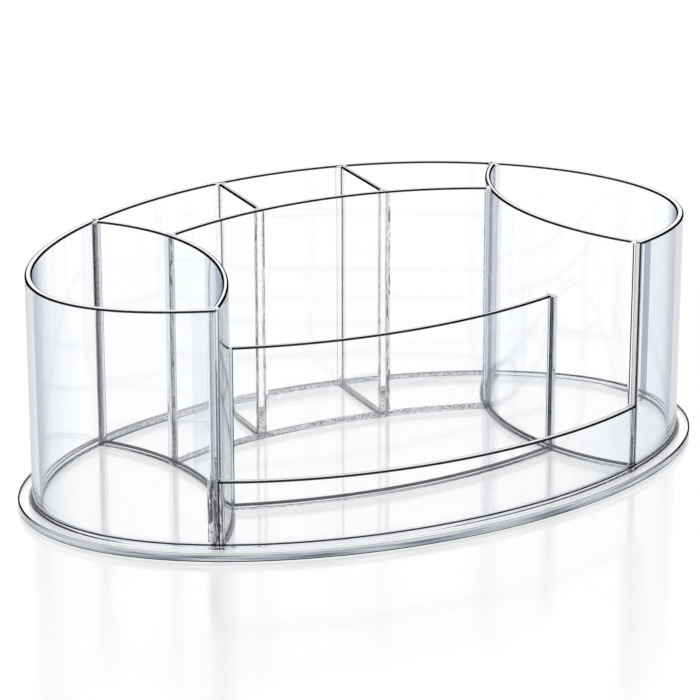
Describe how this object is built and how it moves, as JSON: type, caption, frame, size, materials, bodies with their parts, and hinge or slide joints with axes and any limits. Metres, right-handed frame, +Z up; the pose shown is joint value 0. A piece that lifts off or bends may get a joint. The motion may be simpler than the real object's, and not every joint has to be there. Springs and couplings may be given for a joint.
{
  "type": "vanity organizer",
  "caption": "Clear oval vanity organizer: tall curved compartments at both ends and along the back, with lower trays stepping down to the front.",
  "frame": {"origin": "centre of the base plate's underside, on the surface that it stands on", "axes": "+X along the oval's length to the right, +Y to the back, +Z up"},
  "size_m": [0.254, 0.152, 0.0887],
  "materials": {
    "clear_plastic": "clear, polished acrylic sheet with bonded joints"
  },
  "bodies": {
    "root": {"base_plate": "clear_plastic", "left_end_wall": "clear_plastic", "right_end_wall": "clear_plastic", "back_wall": "clear_plastic", "front_wall": "clear_plastic", "left_partition": "clear_plastic", "right_partition": "clear_plastic", "mid_partition": "clear_plastic", "half_partition": "clear_plastic", "left_divider": "clear_plastic", "right_divider": "clear_plastic"}
  },
  "joints": []
}
